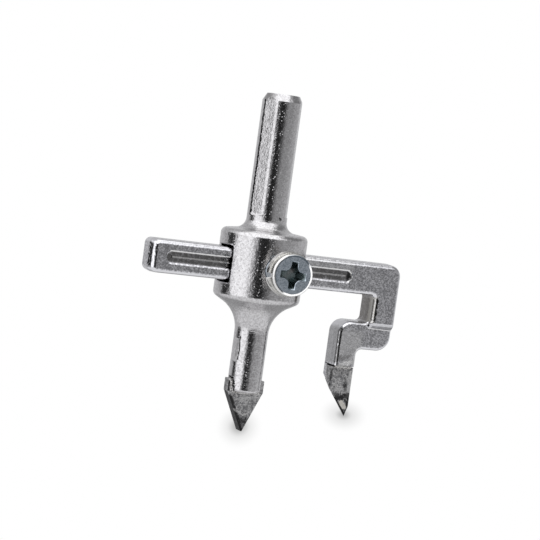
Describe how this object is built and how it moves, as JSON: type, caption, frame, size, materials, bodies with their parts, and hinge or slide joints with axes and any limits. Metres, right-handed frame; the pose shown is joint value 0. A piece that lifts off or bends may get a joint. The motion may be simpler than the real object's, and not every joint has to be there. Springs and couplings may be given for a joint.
{
  "type": "adjustable tile hole cutter",
  "caption": "Adjustable tile hole cutter: shank, hub with a sliding toolbit arm, carbide centre spade and clamp screw.",
  "frame": {"origin": "centre of the shank's end face, the end that goes into the drill's chuck", "axes": "+Z along the tool's axis, out of the shank's end; the cutting end points to -Z. +X along the arm towards the cutting leg. The clamp screw's head faces -Y."},
  "size_m": [0.0668, 0.0313, 0.0834],
  "materials": {
    "nickel_body": "cast grain under bright nickel plate",
    "nickel_arm": "cast grain under bright nickel plate",
    "carbide": "matt, mottled and darkened by the brazing heat",
    "braze": "plated over",
    "zinc_screw": "bluish zinc, satin",
    "washer_steel": "plated, satin"
  },
  "bodies": {
    "holder": {"body": "nickel_body", "centre_bit": "carbide", "bit_braze": "braze"},
    "cutter_arm": {"arm": "nickel_arm", "cutting_tip": "carbide", "tip_braze": "braze"},
    "washer": {"lock_washer": "washer_steel"},
    "screw": {"clamp_screw": "zinc_screw"}
  },
  "joints": [
    {"name": "arm_slide", "type": "slide", "parent": "holder", "child": "cutter_arm", "axis": [1, 0, 0], "range_m": [-0.013, 0.022]},
    {"name": "screw_advance", "type": "slide", "parent": "holder", "child": "washer", "axis": [0, -1, 0], "range_m": [0, 0.004]},
    {"name": "screw_turn", "type": "hinge", "parent": "washer", "child": "screw", "pos_m": [0, 0, -0.0424], "axis": [0, -1, 0], "range_deg": [0, 1440]}
  ],
  "couplings": [
    {"joint": "screw_turn", "follows": "screw_advance", "rad_per_m": 6283.2}
  ]
}
